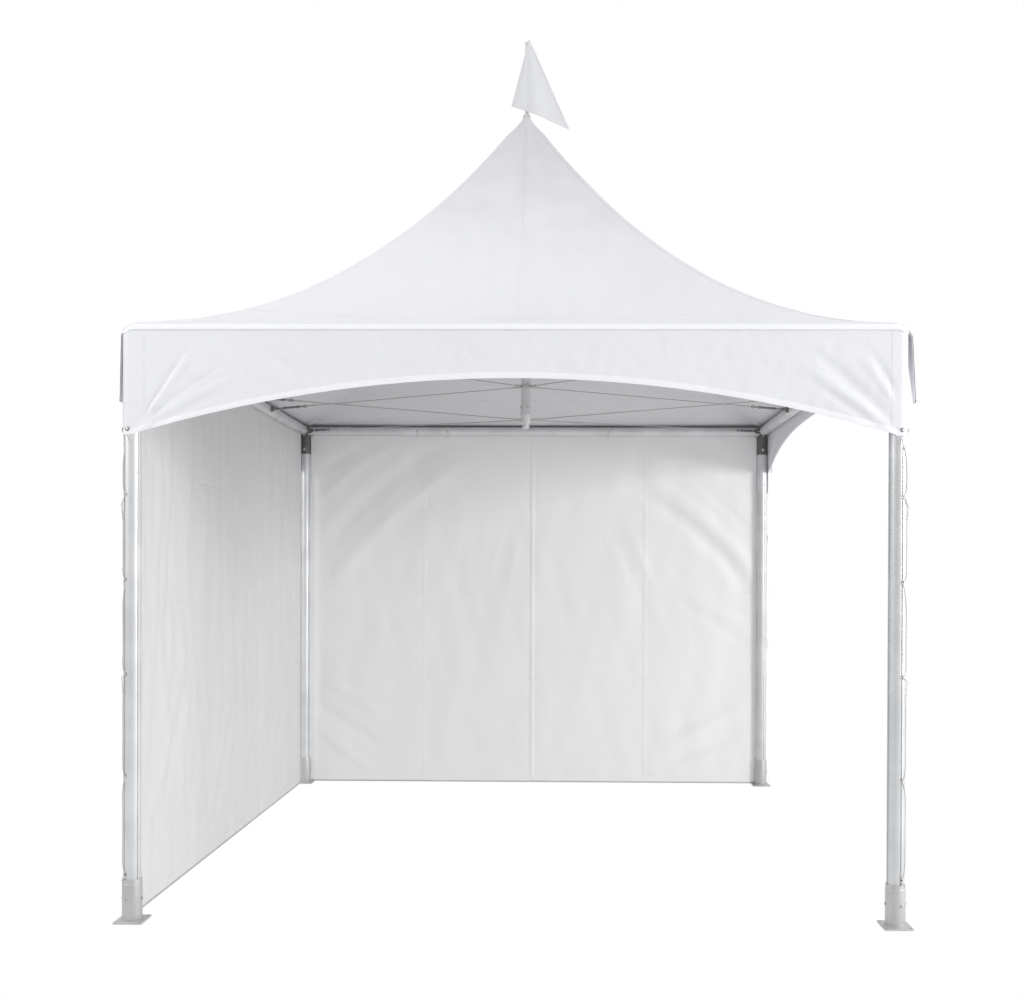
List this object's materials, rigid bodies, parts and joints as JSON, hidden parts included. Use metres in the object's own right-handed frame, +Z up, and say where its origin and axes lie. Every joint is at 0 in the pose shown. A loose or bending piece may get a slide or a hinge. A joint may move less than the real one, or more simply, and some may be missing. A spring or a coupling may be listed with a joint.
{
  "type": "marquee tent, three metres square, high peak",
  "caption": "Square white high peak frame tent on round metal legs, open at the front and right, with a back wall, a left wall and a small pennant.",
  "frame": {"origin": "on the ground under the centre of the tent", "axes": "+Z up, +X to the right seen from the open front, +Y towards the back wall"},
  "size_m": [3.1192, 3.092, 4.147],
  "materials": {
    "leg_aluminium": "satin anodised extrusion",
    "rail_aluminium": "satin anodised tube",
    "foot_steel": "dull galvanised steel",
    "fitting_steel": "dark grey paint, worn at the edges",
    "mast_aluminium": "satin mill finish tube",
    "stay_wire": "galvanised wire rope",
    "white_vinyl": "white coated fabric, satin, welded seams",
    "wall_vinyl": "white coated fabric, satin, welded seams",
    "pennant_cloth": "white woven cloth, hemmed",
    "lacing_cord": "white braided cord"
  },
  "bodies": {
    "root": {"foot_front_left": "foot_steel", "foot_front_right": "foot_steel", "foot_back_left": "foot_steel", "foot_back_right": "foot_steel", "leg_front_left": "leg_aluminium", "leg_front_right": "leg_aluminium", "leg_back_left": "leg_aluminium", "leg_back_right": "leg_aluminium", "corner_fitting_front_left": "fitting_steel", "corner_fitting_front_right": "fitting_steel", "corner_fitting_back_left": "fitting_steel", "corner_fitting_back_right": "fitting_steel", "eave_rail_front": "rail_aluminium", "eave_rail_back": "rail_aluminium", "eave_rail_left": "rail_aluminium", "eave_rail_right": "rail_aluminium", "mast": "mast_aluminium", "mast_foot": "mast_aluminium", "stay_ring": "fitting_steel", "stay_front_left": "stay_wire", "stay_front_right": "stay_wire", "stay_back_left": "stay_wire", "stay_back_right": "stay_wire", "stay_upper_left": "stay_wire", "stay_upper_right": "stay_wire", "stay_lower_left": "stay_wire", "stay_lower_right": "stay_wire", "canopy": "white_vinyl", "valance_front": "white_vinyl", "valance_right": "white_vinyl", "valance_back": "white_vinyl", "valance_left": "white_vinyl", "corner_flap_front_left": "white_vinyl", "corner_flap_front_right": "white_vinyl", "corner_flap_back_left": "white_vinyl", "corner_flap_back_right": "white_vinyl", "sidewall_back": "wall_vinyl", "sidewall_left": "wall_vinyl", "peak_cap": "fitting_steel", "pennant_pole": "mast_aluminium", "pennant": "pennant_cloth", "lacing_cord_front_left": "lacing_cord", "lacing_cord_front_right": "lacing_cord", "lacing_cord_back_left": "lacing_cord", "lacing_cord_back_right": "lacing_cord"}
  },
  "joints": []
}
